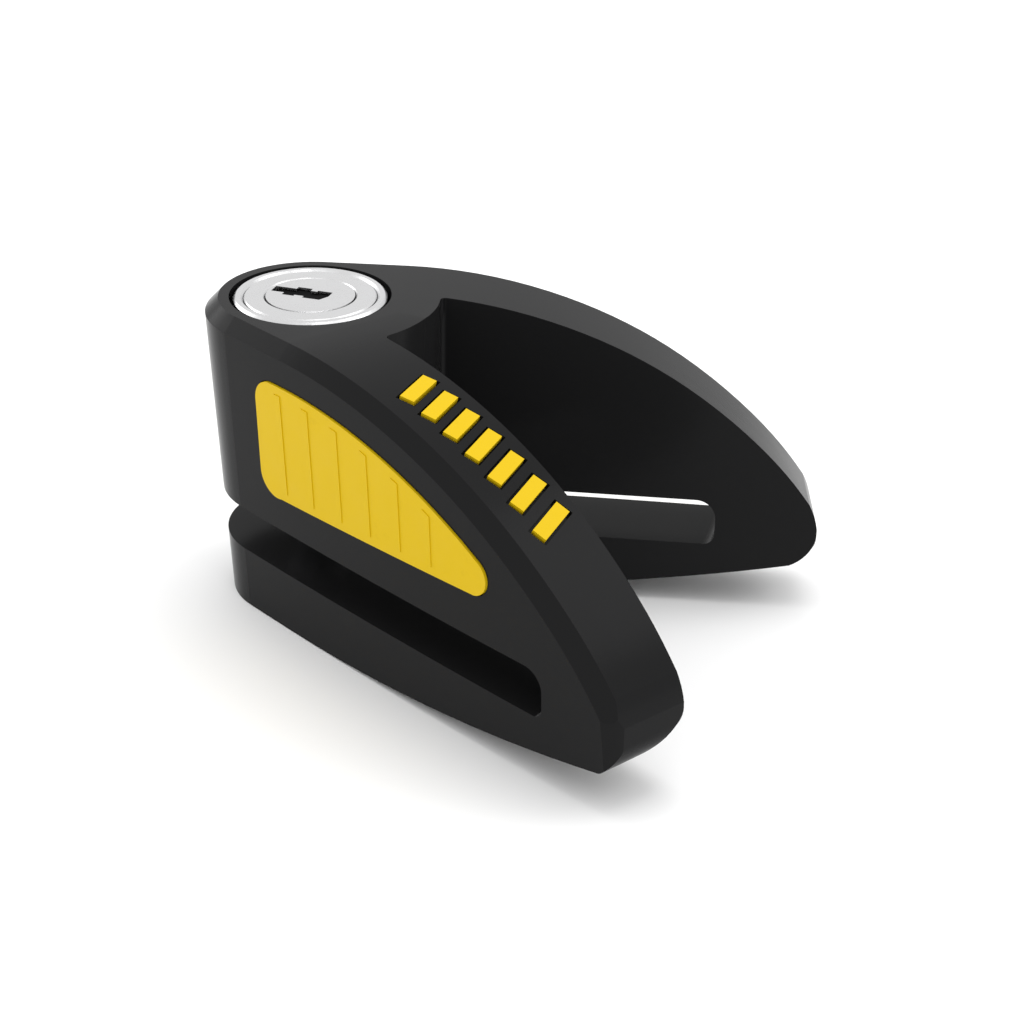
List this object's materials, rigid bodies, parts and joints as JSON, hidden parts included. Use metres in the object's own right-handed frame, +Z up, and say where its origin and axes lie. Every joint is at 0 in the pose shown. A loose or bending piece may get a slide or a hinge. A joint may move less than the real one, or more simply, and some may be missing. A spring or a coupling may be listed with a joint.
{
  "type": "motorcycle disc brake lock",
  "caption": "V-shaped black disc brake lock with a level slot through both wings, a push-down key cylinder, a vertical locking pin and yellow inlays.",
  "frame": {"origin": "on the lock axis, at the flat underside next to the lock", "axes": "+Z up along the lock axis, +X from the lock towards the open end of the V, -Y towards the wing with the accent bars"},
  "size_m": [0.0849, 0.074, 0.0463],
  "materials": {
    "body_black": "gloss",
    "yellow": "satin",
    "bright_metal": "satin",
    "hard_steel": "satin",
    "dark_steel": "satin",
    "brass": "satin",
    "spring_steel": "satin",
    "rubber": "matt"
  },
  "bodies": {
    "lock": {"lock_body": "body_black", "side_inlay_near": "yellow", "side_inlay_far": "yellow", "accent_bars": "yellow", "pin_guide_bush": "hard_steel", "lower_jaw_bush": "hard_steel", "spring_washer": "hard_steel", "travel_stop_screw": "dark_steel", "return_spring": "spring_steel"},
    "cylinder": {"cap_bezel": "bright_metal", "cap_face": "bright_metal", "drill_guard_disc": "hard_steel", "cylinder_housing": "brass", "dust_seal": "rubber", "locking_pin": "hard_steel", "pin_roll_pin": "hard_steel", "latch_spring": "spring_steel"},
    "key_plug": {"plug": "bright_metal", "keyway_shutter": "dark_steel", "wafers": "brass", "wafer_springs": "spring_steel", "tail_cam": "hard_steel"},
    "latch_bolt": {"latch": "hard_steel"}
  },
  "joints": [
    {"name": "cylinder_lift", "type": "slide", "parent": "lock", "child": "cylinder", "axis": [0, 0, 1], "range_m": [0, 0.0106], "deforming": ["return_spring"]},
    {"name": "key_turn", "type": "hinge", "parent": "cylinder", "child": "key_plug", "pos_m": [0, 0, 0.04], "axis": [0, 0, -1], "range_deg": [0, 90]},
    {"name": "latch_slide", "type": "slide", "parent": "cylinder", "child": "latch_bolt", "axis": [1, 0, 0], "range_m": [0, 0.0016], "deforming": ["latch_spring"]}
  ],
  "couplings": [
    {"joint": "key_turn", "follows": "cylinder_lift", "rad_per_m": 148.17},
    {"joint": "latch_slide", "follows": "cylinder_lift", "ratio": 0.15093}
  ]
}
